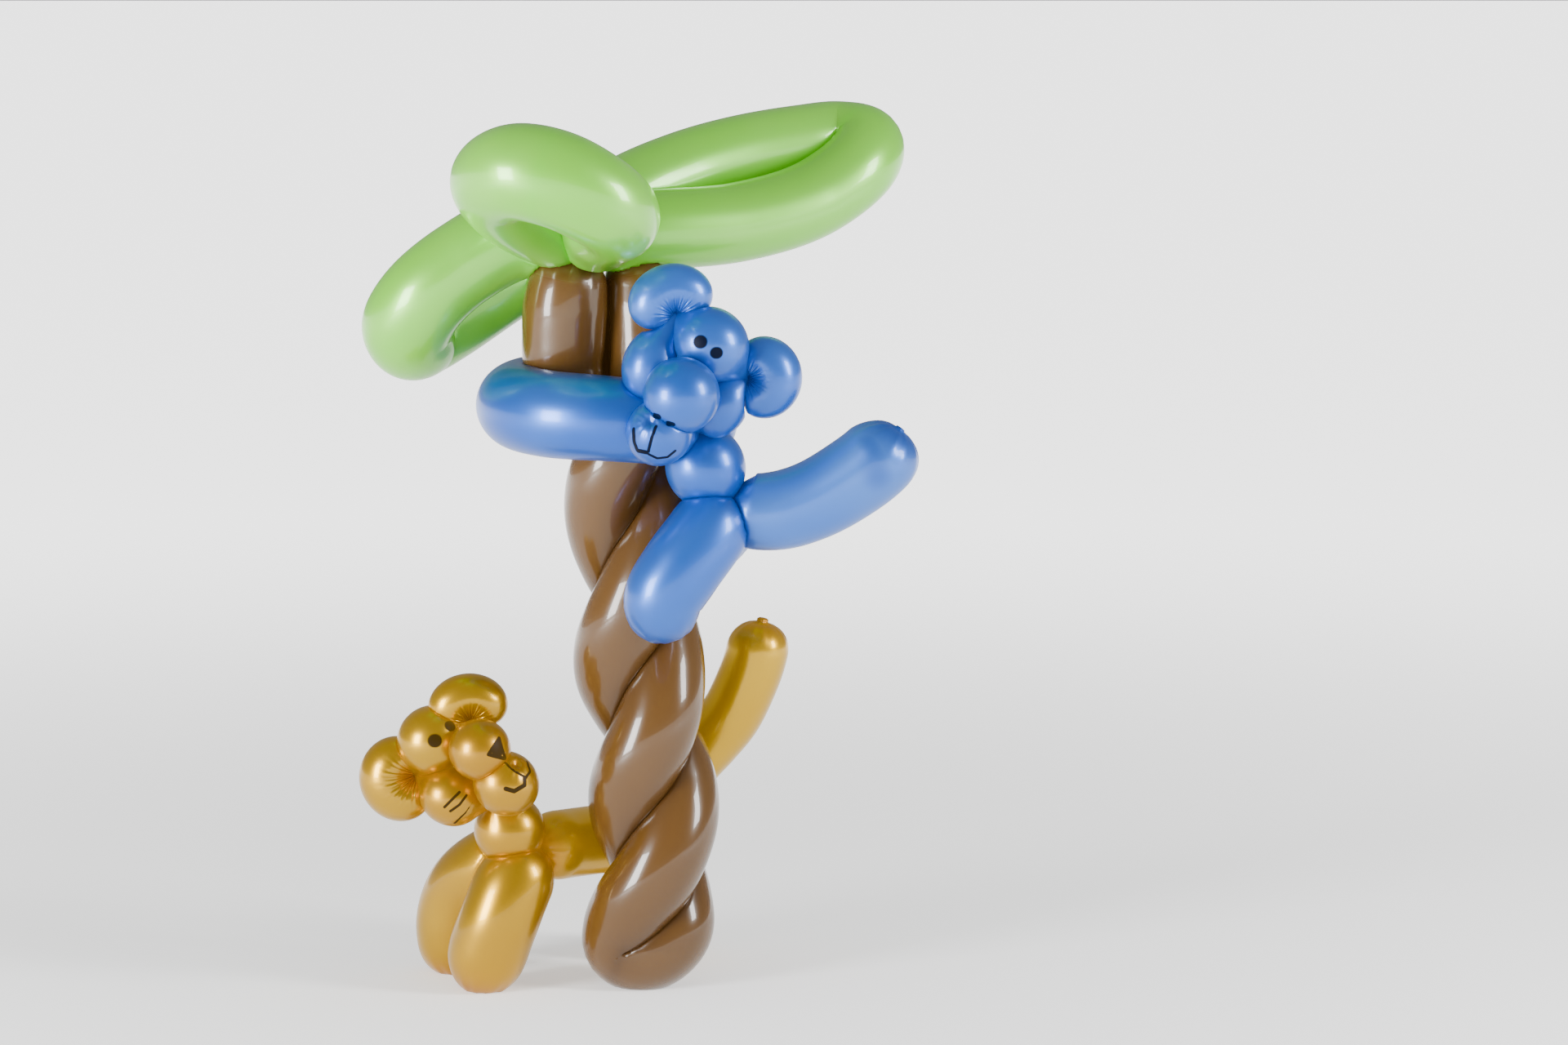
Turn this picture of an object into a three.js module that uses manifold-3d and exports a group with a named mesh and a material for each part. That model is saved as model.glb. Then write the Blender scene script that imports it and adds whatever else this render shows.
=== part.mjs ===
import * as THREE from 'three';
import { mergeVertices } from 'three/addons/utils/BufferGeometryUtils.js';
import Module from 'manifold-3d';

const wasm = await Module();
wasm.setup();

// Sizes in millimetres. The pose tables below are drawn for a tree of drawnHeight.
const drawnHeight = 545;
const treeHeight = 545;
const trunkTube = 51.5;
const trunkTwistRadius = 14.5;
const trunkTopSpread = 25;
const trunkTopHeight = 455;
const leafTube = 48;
const leftLeafTube = 53;
const centreLeafTube = 51;
const armTube = 52;
const blueLegTube = 48;
const blueTailTube = 48;
const blueBodyTube = 48;
const goldLegTube = 45;
const goldHindTube = 38;
const goldBodyTube = 43;
const goldTailTube = 39;
const twistNeck = 6;
const footDepth = 4;
const pawDepth = 2.5;
const crownRise = 7;
const bodySqueeze = 2.4;
const armSqueeze = 2;
const contactGap = 0.3;
const tubeSides = 12;
const trunkSides = 14;
const ringStep = 34;
const bendStep = 15;
const foldStep = 6;

const unit = treeHeight / drawnHeight;
const place = (p) => new THREE.Vector3(p[0], p[1], p[2]).multiplyScalar(unit);

function toSolid(geometry) {
  const bare = geometry.clone();
  bare.deleteAttribute('normal');
  bare.deleteAttribute('uv');
  const merged = mergeVertices(bare, 1e-4);
  return new wasm.Manifold(new wasm.Mesh({
    numProp: 3,
    vertProperties: Float32Array.from(merged.attributes.position.array),
    triVerts: Uint32Array.from(merged.index.array),
  }));
}

function toGeometry(solid) {
  const mesh = solid.getMesh();
  const geometry = new THREE.BufferGeometry();
  geometry.setAttribute('position', new THREE.BufferAttribute(Float32Array.from(mesh.vertProperties), 3));
  geometry.setIndex(new THREE.BufferAttribute(Uint32Array.from(mesh.triVerts), 1));
  geometry.computeVertexNormals();
  return geometry;
}

function join(solids) {
  let result = solids[0];
  for (let i = 1; i < solids.length; i++) result = result.add(solids[i]);
  return result;
}

// Keeps the largest body, without the crumbs and specks of void that joins and cuts can leave.
function largest(solid) {
  const bodies = solid.decompose();
  bodies.sort((a, b) => b.volume() - a.volume());
  return bodies[0];
}

// Closes a stack of rings into a body, each end with a point.
function skin(rings, first, last) {
  const sides = rings[0].length;
  const positions = [];
  const index = [];
  for (const ring of rings) for (const v of ring) positions.push(v.x, v.y, v.z);
  const firstId = rings.length * sides;
  positions.push(first.x, first.y, first.z, last.x, last.y, last.z);
  for (let j = 0; j < sides; j++) {
    const k = (j + 1) % sides;
    index.push(firstId, k, j);
    for (let i = 0; i < rings.length - 1; i++) {
      const a = i * sides;
      const b = a + sides;
      index.push(a + j, a + k, b + k, a + j, b + k, b + j);
    }
    const c = (rings.length - 1) * sides;
    index.push(firstId + 1, c + j, c + k);
  }
  const geometry = new THREE.BufferGeometry();
  geometry.setAttribute('position', new THREE.Float32BufferAttribute(positions, 3));
  geometry.setIndex(index);
  return geometry;
}

// Rounding of a bubble towards its twist: 0 at the twist, 1 where the tube is full.
function shoulder(x) {
  if (x >= 1) return 1;
  return Math.pow(1 - Math.pow(1 - Math.max(x, 0), 2.2), 0.55);
}

// Direction of bend at u, with its curvature.
function bendAt(curve, length, u) {
  const du = 0.02;
  const low = Math.max(u - du, 0);
  const high = Math.min(u + du, 1);
  const bend = curve.getTangentAt(high).sub(curve.getTangentAt(low)).divideScalar((high - low) * length);
  const curvature = bend.length();
  if (curvature > 1e-6) bend.divideScalar(curvature);
  return { curvature, inward: bend };
}

// Distances along a bubble at which its rings stand, closer at its ends and in its bends.
function stations(curve, length, end, tight) {
  const rounded = [0, 0.13, 0.48].map((s) => s * end);
  const start = end;
  const stop = length - end;
  const walk = [start];
  while (walk[walk.length - 1] < stop) {
    const s = walk[walk.length - 1];
    const { curvature } = bendAt(curve, length, s / length);
    walk.push(s + Math.min(Math.max(0.55 / Math.max(curvature, 1e-4), tight), ringStep));
  }
  const stretch = (stop - start) / Math.max(walk[walk.length - 1] - start, 1e-6);
  const middle = walk.map((s) => start + (s - start) * stretch);
  return [...rounded, ...middle, ...rounded.map((s) => length - s).reverse()];
}

// A bubble of balloon swept along points. fullness lists the tube's share of its radius
// from end to end, grow adds to the radius for a cutter, and half 0 or 1 keeps one half.
function bubble(points, radius, options = {}) {
  const { fullness = [1], grow = 0, ends = [1, 1], sides = tubeSides, necks = [1, 1], half = null } = options;
  const { tight = bendStep } = options;
  const curve = new THREE.CatmullRomCurve3(points.map(place), false, 'centripetal');
  curve.arcLengthDivisions = 400;
  const length = curve.getLength();
  const end = Math.min(radius * 1.05, length * 0.48);
  const share = (u) => {
    if (fullness.length === 1) return fullness[0];
    const x = Math.min(u, 0.999999) * (fullness.length - 1);
    const i = Math.floor(x);
    const t = x - i;
    const blend = t * t * (3 - 2 * t);
    return fullness[i] * (1 - blend) + fullness[i + 1] * blend;
  };
  let side = new THREE.Vector3();
  let previous = null;
  const rings = [];
  for (const s of stations(curve, length, end, tight)) {
    const u = Math.min(Math.max(s / length, 0), 1);
    const centre = curve.getPointAt(u);
    const tangent = curve.getTangentAt(u).normalize();
    if (previous) {
      side.applyQuaternion(new THREE.Quaternion().setFromUnitVectors(previous, tangent));
    } else {
      const helper = Math.abs(tangent.z) < 0.8 ? new THREE.Vector3(0, 0, 1) : new THREE.Vector3(0, 1, 0);
      side = helper.cross(tangent);
    }
    side.sub(tangent.clone().multiplyScalar(side.dot(tangent))).normalize();
    previous = tangent;
    const across = tangent.clone().cross(side);
    const { curvature, inward } = bendAt(curve, length, u);
    const reach = Math.max(0.88 / Math.max(curvature, 1e-6) - 0.5, 0.5);
    const neck = twistNeck / 2;
    const a = shoulder(s / (end * ends[0]));
    const b = shoulder((length - s) / (end * ends[1]));
    const full = radius * share(u);
    const r = neck * necks[s < length / 2 ? 0 : 1] + (full - neck) * a * b + grow;
    const ring = [];
    for (let j = 0; j < sides; j++) {
      const angle = (2 * Math.PI * j) / sides;
      const offset = side.clone().multiplyScalar(Math.cos(angle) * r * 1.012);
      offset.add(across.clone().multiplyScalar(Math.sin(angle) * r * 1.012));
      const excess = offset.dot(inward) - reach;
      if (excess > 0) offset.sub(inward.clone().multiplyScalar(excess));
      ring.push(centre.clone().add(offset));
    }
    rings.push(ring);
  }
  const tip = 1.5 + grow;
  const first = curve.getPointAt(0).sub(curve.getTangentAt(0).multiplyScalar(tip));
  const last = curve.getPointAt(1).add(curve.getTangentAt(1).multiplyScalar(tip));
  if (half === null) return toSolid(skin(rings, first, last));
  const middle = Math.floor(rings.length / 2);
  const centreOf = (ring) => ring.reduce((sum, v) => sum.add(v), new THREE.Vector3()).divideScalar(ring.length);
  if (half === 0) return toSolid(skin(rings.slice(0, middle + 1), first, centreOf(rings[middle])));
  return toSolid(skin(rings.slice(middle - 1), centreOf(rings[middle - 1]), last));
}

// A short round bubble, stretched along its own direction.
function ball(centre, radius, stretch = 1, along = [0, 0, 1]) {
  const geometry = new THREE.SphereGeometry(radius * 1.02, 10, 7);
  geometry.rotateX(Math.PI / 2);
  geometry.scale(1, 1, stretch);
  const turn = new THREE.Quaternion().setFromUnitVectors(
    new THREE.Vector3(0, 0, 1), new THREE.Vector3(...along).normalize());
  geometry.applyQuaternion(turn);
  const c = place(centre);
  geometry.translate(c.x, c.y, c.z);
  return toSolid(geometry);
}

// The twisted neck that ties a short bubble to its neighbour.
function tie(from, to) {
  const a = place(from);
  const b = place(to);
  const geometry = new THREE.CylinderGeometry(twistNeck / 2, twistNeck / 2, a.distanceTo(b), 5);
  const direction = b.clone().sub(a).normalize();
  geometry.applyQuaternion(new THREE.Quaternion().setFromUnitVectors(new THREE.Vector3(0, 1, 0), direction));
  const c = a.add(b).multiplyScalar(0.5);
  geometry.translate(c.x, c.y, c.z);
  return toSolid(geometry);
}

// An ear: a bubble doubled round so that both ends meet in one pinch.
function ear(pinch, outward, facing, radius, wide = 1) {
  const out = new THREE.Vector3(...outward).normalize();
  const axis = new THREE.Vector3(...facing);
  axis.sub(out.clone().multiplyScalar(axis.dot(out))).normalize();
  const sideways = axis.clone().cross(out);
  const p = place(pinch);
  const spread = (125 * Math.PI) / 180;
  const count = 9;
  const sides = 8;
  const rings = [];
  for (let i = 0; i <= count; i++) {
    const t = 0.03 + (0.94 * i) / count;
    const angle = -spread + 2 * spread * t;
    const swell = Math.pow(Math.sin(Math.PI * t), 0.6);
    const r = radius * swell;
    const radial = out.clone().multiplyScalar(Math.cos(angle));
    radial.add(sideways.clone().multiplyScalar(Math.sin(angle) * wide));
    const ring = [];
    for (let j = 0; j < sides; j++) {
      const a = (2 * Math.PI * j) / sides;
      const away = Math.max(r * (1 + Math.cos(a)), 0.5);
      const funnel = Math.sin((Math.min(away / r, 1) * Math.PI) / 2);
      const lift = Math.cos(a) < 0 ? r * funnel * Math.sign(Math.sin(a)) : r * Math.sin(a);
      ring.push(p.clone().add(radial.clone().multiplyScalar(away)).add(axis.clone().multiplyScalar(-lift)));
    }
    rings.push(ring);
  }
  const middle = (ring) => ring.reduce((sum, v) => sum.add(v), new THREE.Vector3()).divideScalar(ring.length);
  return toSolid(skin(rings, middle(rings[0]), middle(rings[count])));
}

const ground = new THREE.BoxGeometry(2 * treeHeight, 2 * treeHeight, treeHeight);
ground.translate(0, 0, -treeHeight / 2);
const floorCut = toSolid(ground);

// Palm trunk: one balloon folded in half at the foot, its two halves twisted round each other.
// Each table pairs a height with the axis's lean, the half turns made, the halves' spread, or
// the tube's share of its width, which the monkey's arms squeeze.
const trunkLean = [[0, -16], [34, 0], [72, 6], [114, 4], [155, 3], [199, -5], [241, -5], [291, -9],
  [330, -17], [376, -24], [455, -24.5]];
const halfTurns = [[0, -0.2], [34, 0], [114, 1], [199, 2], [289, 3], [368, 4], [455, 4.16]];
const topSpread = [[0, 0], [310, 0], [385, 1], [415, 1], [430, 0.95], [442, 0.78], [455, 0.7]];
const trunkGirth = [[0, 1], [310, 1], [345, 0.95], [368, 0.9], [392, 0.99], [415, 1.02], [430, 0.98], [442, 0.91], [455, 0.88]];
const trunkStrandPoints = 24;
const foldPoints = 4;
const creaseStretch = 1.45;

function along(table, z) {
  let i = 0;
  while (i < table.length - 2 && z > table[i + 1][0]) i++;
  const [z0, a0] = table[i];
  const [z1, a1] = table[i + 1];
  return a0 + ((a1 - a0) * (z - z0)) / (z1 - z0);
}

function trunkAxisAt(z) {
  const offset = trunkTwistRadius + (trunkTopSpread - trunkTwistRadius) * along(topSpread, z);
  return { lean: along(trunkLean, z), angle: Math.PI * along(halfTurns, z), offset };
}

// The bend at the foot is a half circle as wide as the halves stand apart, closed on its inside.
const foldHeight = trunkTube / 2 + trunkTwistRadius - footDepth;

function strandPoints(phase) {
  const points = [];
  for (let i = 0; i <= trunkStrandPoints; i++) {
    const z = foldHeight + ((trunkTopHeight - foldHeight) * i) / trunkStrandPoints;
    const { lean, angle, offset } = trunkAxisAt(z);
    const turned = angle + Math.PI * phase;
    points.push([lean + offset * Math.cos(turned), offset * Math.sin(turned), z]);
  }
  return points;
}

function foldedTrunk() {
  const bend = [];
  for (let i = 1; i < foldPoints; i++) {
    const turn = (Math.PI * i) / foldPoints;
    const { lean, angle } = trunkAxisAt(foldHeight - trunkTwistRadius * Math.sin(turn));
    const out = trunkTwistRadius * Math.cos(turn);
    bend.push([lean + out * Math.cos(angle), out * Math.sin(angle), foldHeight - trunkTwistRadius * Math.sin(turn)]);
  }
  return [...strandPoints(0).reverse(), ...bend, ...strandPoints(1)];
}

function trunkSolid(grow) {
  const points = foldedTrunk();
  const fullness = points.map((p) => along(trunkGirth, p[2]));
  const halves = [0, 1].map((half) => bubble(points, trunkTube / 2, { fullness, grow, half, tight: foldStep, sides: trunkSides }));
  const crease = ball([along(trunkLean, foldHeight), 0, foldHeight - trunkTwistRadius / 5],
    trunkTwistRadius + grow, creaseStretch, [0, 1, 0]);
  return join([...halves, crease]);
}

const trunk = largest(trunkSolid(0).subtract(floorCut));
const trunkCutter = trunkSolid(contactGap);

// Palm leaves: one balloon in three folded loops that meet on top of the trunk.
// Each loop's path is given from the twist that joins them, which sits just above the trunk.
const crownTwist = [-38, -6, trunkTopHeight + crownRise];
const leafLoops = [
  {
    tube: leafTube,
    fullness: [1.02, 1.02, 1, 1, 1.02],
    path: [[0, 0, 0], [40, 12, 3], [95, 37, 7], [140, 59, 20], [169, 77, 41], [172, 91, 52],
      [156, 101, 55], [133, 92, 53], [95, 76, 47], [58, 56, 37], [22, 30, 21], [0, 0, 0]],
  },
  {
    tube: centreLeafTube,
    fullness: [1, 1, 1.12, 1, 1],
    path: [[0, 0, 0], [-26, -28, 12], [-41, -58, 24], [-46, -86, 37], [-31, -106, 43], [-7, -111, 38],
      [18, -103, 24], [24, -86, 16], [17, -58, 11], [12, -27, 6], [0, 0, 0]],
  },
  {
    tube: leftLeafTube,
    fullness: [1, 1, 1.06, 1, 0.96],
    path: [[0, 0, 0], [-39, 3, 0], [-71, 0, -16], [-94, 0, -35], [-106, 10, -53], [-105, 23, -61],
      [-101, 33, -60], [-83, 40, -50], [-57, 39, -33], [-28, 23, -13], [0, 0, 0]],
  },
];

function leafSolid(loop) {
  const radius = loop.tube / 2;
  const { fullness } = loop;
  const path = loop.path.map((p) => p.map((v, i) => v + crownTwist[i]));
  return join([0, 1].map((half) => bubble(path, radius, { fullness, half })));
}

const leaves = largest(join(leafLoops.map(leafSolid)).subtract(trunkCutter));

// Blue monkey: one balloon; head ring with muzzle, arms round the trunk, legs, tail.
const neckTwist = [31, -46, 350];
const hipTwist = [50, -36, 304];
const topEarPinch = [20, -68, 418];
const rightEarPinch = [61, -60, 381];
const blueHead = [
  { centre: [5.5, -70, 389], radius: 17.2, stretch: 1.3, along: [0.25, 0, 1], ties: [neckTwist, topEarPinch] },
  { centre: [47, -61, 365], radius: 15.8, stretch: 1.3, along: [0.5, 0, 1], ties: [neckTwist, rightEarPinch] },
  { centre: [41, -72, 402], radius: 21.6, stretch: 1.08, along: [41, 8, -37], ties: [topEarPinch, rightEarPinch] },
  { centre: [24, -97, 374], radius: 22.5, stretch: 1, along: [0, 0, 1], ties: [neckTwist] },
  { centre: [11, -93, 352], radius: 20.3, stretch: 0.95, along: [1, 0, -0.6], ties: [[24, -97, 374]] },
  { centre: [37, -42, 326], radius: blueBodyTube / 2, stretch: 1.06, along: [19, 10, -46], ties: [neckTwist, hipTwist] },
];

// The short bubbles of a head, each tied to the twists it hangs from.
function headSolids(bubbles) {
  const solids = [];
  for (const b of bubbles) {
    solids.push(ball(b.centre, b.radius, b.stretch, b.along));
    for (const twist of b.ties) solids.push(tie(b.centre, twist));
  }
  return solids;
}

// The arms' loop round the trunk: degrees round it, how far from snug, and height.
const armsRound = [[-62, 14.7, 354], [-92, 10.3, 357], [-121, 8.6, 358], [-152, 5.7, 359], [178, 5.3, 360],
  [148, 6.9, 361], [118, 9.3, 361], [88, 11.3, 360], [62, 9.3, 357], [28, 4.8, 354], [-6, 3.6, 351]];

function armPoints() {
  const centre = along(trunkLean, neckTwist[2]) - 1.5;
  const snug = trunkTube / 2 + armTube / 2 - armSqueeze;
  return armsRound.map(([degrees, slack, z]) => {
    const turn = (degrees * Math.PI) / 180;
    return [centre + (snug + slack) * Math.cos(turn), (snug + slack) * Math.sin(turn), z];
  });
}

const blueSolid = join([
  ...headSolids(blueHead),
  ear(topEarPinch, [-3, 1, 10], [0.1, -1, 0.2], 15.8, 1.12),
  ear(rightEarPinch, [10, 1, 0.2], [0, -1, 0], 17),
  bubble([neckTwist, ...armPoints(), neckTwist], armTube / 2, { fullness: [0.94, 1, 1, 1, 0.92] }),
  bubble([hipTwist, [37, -51, 286], [22, -58, 266], [12, -58, 248], [17, -46, 226]],
    blueLegTube / 2, { fullness: [1, 1.02, 0.96], sides: 10 }),
  bubble([hipTwist, [44, -4, 288], [32, 34, 272], [12, 54, 257], [0, 58, 238]], blueLegTube / 2, { sides: 10 }),
  bubble([hipTwist, [64, -37, 299], [82, -38, 299.5], [102, -40, 306], [122, -42, 317.5], [140, -44, 331.5],
    [154, -45.5, 350]],
    blueTailTube / 2, { fullness: [0.94, 1, 1.02, 1], ends: [0.7, 0.9], necks: [1, 1.3], sides: 10 }),
]);
const blue = largest(blueSolid.subtract(trunkCutter));

// Gold animal: one balloon; head ring with muzzle, two pairs of legs, body behind the trunk, tail.
const nape = [-92, -22, 120];
const shoulderTwist = [-68, 0, 86];
const rumpTwist = [10, 66, 86];
const goldTopPinch = [-107, -21, 168];
const goldLeftPinch = [-139, -16, 135];
const goldHead = [
  { centre: [-118, -26, 123], radius: 18, stretch: 1.1, along: [1, 0, -0.4], ties: [nape, goldLeftPinch] },
  { centre: [-98, -14, 146], radius: 16, stretch: 1.2, along: [0.3, 0, -1], ties: [nape, goldTopPinch] },
  { centre: [-130, -22, 157], radius: 20.8, stretch: 1.05, along: [31, 0, 33], ties: [goldTopPinch, goldLeftPinch] },
  { centre: [-99.5, -42, 154.5], radius: 18.8, stretch: 1, along: [0, 0, 1], ties: [nape] },
  { centre: [-84, -38, 133], radius: 19.5, stretch: 1.05, along: [1, 0, -0.8], ties: [[-99.5, -42, 154.5]] },
  { centre: [-84, -8, 99], radius: 21.8, stretch: 1, along: [0, 0, 1], ties: [nape, shoulderTwist] },
];

const goldSolid = join([
  ...headSolids(goldHead),
  ear(goldTopPinch, [-1, 1, 10], [0.15, -1, 0.2], 14.8, 1.14),
  ear(goldLeftPinch, [-10, 1, -2.6], [0, -1, 0], 18.3),
  bubble([shoulderTwist, [-81, -11, 67], [-89, -15, 48], [-97, -12, 26], [-105, -8, -pawDepth]],
    goldLegTube / 2, { fullness: [1, 1.09, 1.1, 0.95], sides: 10 }),
  bubble([shoulderTwist, [-95, 14, 73], [-114, 30, 55], [-122, 38, 32], [-120, 41, -pawDepth]],
    goldLegTube / 2, { fullness: [1, 1.08, 1.06, 0.96], sides: 10 }),
  bubble([shoulderTwist, [-50, 26, 84], [-24, 51, 83], [-6, 62, 84], rumpTwist], goldBodyTube / 2, { sides: 10 }),
  bubble([rumpTwist, [0, 72, 66], [-11, 79, 36], [-13, 82, -pawDepth]], goldHindTube / 2, { sides: 10 }),
  bubble([rumpTwist, [10, 84, 68], [6, 98, 38], [5, 103, -pawDepth]], goldHindTube / 2, { sides: 10 }),
  bubble([rumpTwist, [14, 68, 106], [25, 66, 128], [38, 64, 143], [50, 62, 158], [59, 60, 176], [66, 59, 195], [71, 58, 221]],
    goldTailTube / 2, { ends: [1, 0.9], necks: [1, 1.3], sides: 10 }),
]);

// The body leans on the trunk: the whole animal stands off by the two tubes, less a squeeze.
const leaning = new THREE.Vector2(-24, 51).multiplyScalar(unit);
const leanedOn = new THREE.Vector2(0.6, 13.6).multiplyScalar(unit);
const standOff = leaning.clone().sub(leanedOn);
const nudge = trunkTube / 2 + goldBodyTube / 2 - bodySqueeze - standOff.length();
standOff.normalize().multiplyScalar(nudge);
const goldPlaced = goldSolid.translate([standOff.x, standOff.y, 0]);
const gold = largest(goldPlaced.subtract(trunkCutter).subtract(floorCut));

const pieces = [
  ['palm_trunk', trunk, '#8f6a40', 0.18],
  ['palm_leaves', leaves, '#98cc72', 0.3],
  ['blue_monkey', blue, '#3f7fd0', 0.3],
  ['gold_animal', gold, '#cc9a34', 0.3],
];

const group = new THREE.Group();
group.name = 'balloon_monkey';
for (const [name, solid, colour, roughness] of pieces) {
  const material = new THREE.MeshStandardMaterial({ color: colour, roughness, metalness: 0 });
  const mesh = new THREE.Mesh(toGeometry(solid), material);
  mesh.name = name;
  group.add(mesh);
}

export default group;
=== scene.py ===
import math

import bpy
import numpy as np
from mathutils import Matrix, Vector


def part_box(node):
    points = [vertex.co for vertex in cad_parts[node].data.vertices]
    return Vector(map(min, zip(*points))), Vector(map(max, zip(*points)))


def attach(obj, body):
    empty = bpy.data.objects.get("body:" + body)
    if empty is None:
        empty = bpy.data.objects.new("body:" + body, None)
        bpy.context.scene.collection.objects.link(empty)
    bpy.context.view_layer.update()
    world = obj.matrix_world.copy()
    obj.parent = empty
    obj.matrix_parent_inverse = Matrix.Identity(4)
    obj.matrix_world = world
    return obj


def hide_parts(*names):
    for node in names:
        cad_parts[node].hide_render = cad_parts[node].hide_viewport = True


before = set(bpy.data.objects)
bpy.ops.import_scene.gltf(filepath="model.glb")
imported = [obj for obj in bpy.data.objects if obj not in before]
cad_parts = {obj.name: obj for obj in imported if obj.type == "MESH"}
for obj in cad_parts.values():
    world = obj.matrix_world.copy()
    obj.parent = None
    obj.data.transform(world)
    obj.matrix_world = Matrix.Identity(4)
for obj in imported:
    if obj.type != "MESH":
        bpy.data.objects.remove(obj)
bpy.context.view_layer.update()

# The palm trunk is one brown modelling balloon of glossy opaque latex, folded in half at the
# floor. Its two halves are twisted round each other and stand side by side at the top. Balloons
# press flat where they meet, which no primitive gives, so each skin is laid ring by ring.

trunk_low, trunk_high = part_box("palm_trunk")
TRUNK_DRAWN_HEIGHT = 456.5
MM = (trunk_high.z - trunk_low.z) / TRUNK_DRAWN_HEIGHT
TRUNK_RADIUS = 25.75
TRUNK_TOP = 455.0
TWIST_RADIUS = 14.5
TOP_SPREAD = 25.0
FOOT_DEPTH = 4.0
NECK_RADIUS = 3.0
SQUEEZE_OVERLAP = 0.1
TRUNK_LEAN = [(0, -16), (34, 0), (72, 6), (114, 4), (155, 3), (199, -5), (241, -5), (291, -9), (330, -17),
              (376, -24), (455, -24.5)]
HALF_TURNS = [(0, -0.2), (34, 0), (114, 1), (199, 2), (289, 3), (368, 4), (455, 4.16)]
TOP_SPREADING = [(0, 0), (310, 0), (385, 1), (415, 1), (430, 0.94), (442, 0.72), (455, 0.58)]
TRUNK_GIRTH = [(0, 1), (310, 1), (345, 0.95), (368, 0.9), (392, 0.99), (415, 1.02), (430, 0.98), (442, 0.91),
               (455, 0.88)]


def unit(v):
    return v / np.linalg.norm(v, axis=-1, keepdims=True)


def spline(points, count=1200):
    """Evenly spaced places along a centripetal Catmull-Rom curve through the points."""
    p = np.array(points, float)
    p = np.vstack([2 * p[0] - p[1], p, 2 * p[-1] - p[-2]])
    t = np.linspace(0, 1, 80, endpoint=False)[:, None]
    pieces = []
    for p0, p1, p2, p3 in zip(p[:-3], p[1:-2], p[2:-1], p[3:]):
        a, b, c = (max(np.linalg.norm(q) ** 0.5, 1e-4) for q in (p1 - p0, p2 - p1, p3 - p2))
        m1 = ((p1 - p0) / a - (p2 - p0) / (a + b) + (p2 - p1) / b) * b
        m2 = ((p2 - p1) / b - (p3 - p1) / (b + c) + (p3 - p2) / c) * b
        pieces.append(p1 + m1 * t + (3 * (p2 - p1) - 2 * m1 - m2) * t**2 + (2 * (p1 - p2) + m1 + m2) * t**3)
    dense = np.vstack(pieces + [p[-2:-1]])
    walked = np.concatenate([[0], np.cumsum(np.linalg.norm(np.diff(dense, axis=0), axis=1))])
    even = np.linspace(0, walked[-1], count)
    return np.stack([np.interp(even, walked, dense[:, i]) for i in range(3)], axis=1), walked[-1]


def smooth_table(values, u):
    """Values spread evenly from 0 to 1, eased from each to the next."""
    values = np.array(values, float)
    if len(values) == 1:
        return np.full(np.shape(u), values[0])
    x = np.clip(u, 0, 0.999999) * (len(values) - 1)
    i = x.astype(int)
    t = x - i
    ease = t * t * (3 - 2 * t)
    return values[i] * (1 - ease) + values[i + 1] * ease


def shoulder(x):
    """Rounding of a bubble towards its twist: 0 at the twist, 1 where the tube is full."""
    return (1 - (1 - np.clip(x, 0, 1)) ** 2.2) ** 0.55


class Bubble:
    """One stretch of balloon between twists: rings of skin round a line of centres."""

    def __init__(self, centres, tangents, radii, grid, twist):
        self.centres = centres
        self.tangents = tangents
        self.radii = radii
        self.grid = grid
        self.twist = twist
        self.touch = np.zeros(grid.shape[:2])
        self.thin_and_glow = 0.0
        along = np.linalg.norm(np.gradient(centres, axis=0), axis=1)
        self.slope = np.clip(np.gradient(radii) / np.maximum(along, 1e-6), -2.5, 2.5)
        self.halves = [(0, len(centres))]

    def depth(self, points, rings):
        """How far points lie outside this stretch's skin; inside is below zero."""
        low, high = rings
        result = np.empty(len(points))
        centres = self.centres[low:high]
        for start in range(0, len(points), 4000):
            p = points[start:start + 4000]
            nearest = ((p[:, None] - centres[None]) ** 2).sum(-1).argmin(1)
            k = nearest + low
            offset = p - self.centres[k]
            ahead = (offset * self.tangents[k]).sum(1)
            across = np.linalg.norm(offset - ahead[:, None] * self.tangents[k], axis=1)
            beyond = ((nearest == 0) & (ahead < 0)) | ((nearest == high - low - 1) & (ahead > 0))
            slope = self.slope[k]
            skin = self.radii[k] + slope * np.clip(ahead, -1, 1)
            inside = (across - skin) / np.sqrt(1 + slope**2)
            past = np.hypot(np.maximum(across - self.radii[k], 0), ahead)
            result[start:start + 4000] = np.where(beyond, past, inside)
        return result

    def reach(self):
        r = self.radii.max()
        return self.centres.min(0) - r, self.centres.max(0) + r


def teat_share(left, teat):
    """How full the skin still is at the closed tip of a teat, from 0 to 1."""
    x = left / (0.4 * teat)
    return np.sqrt(np.clip(x * (2 - np.minimum(x, 1)), 0, 1))


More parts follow.
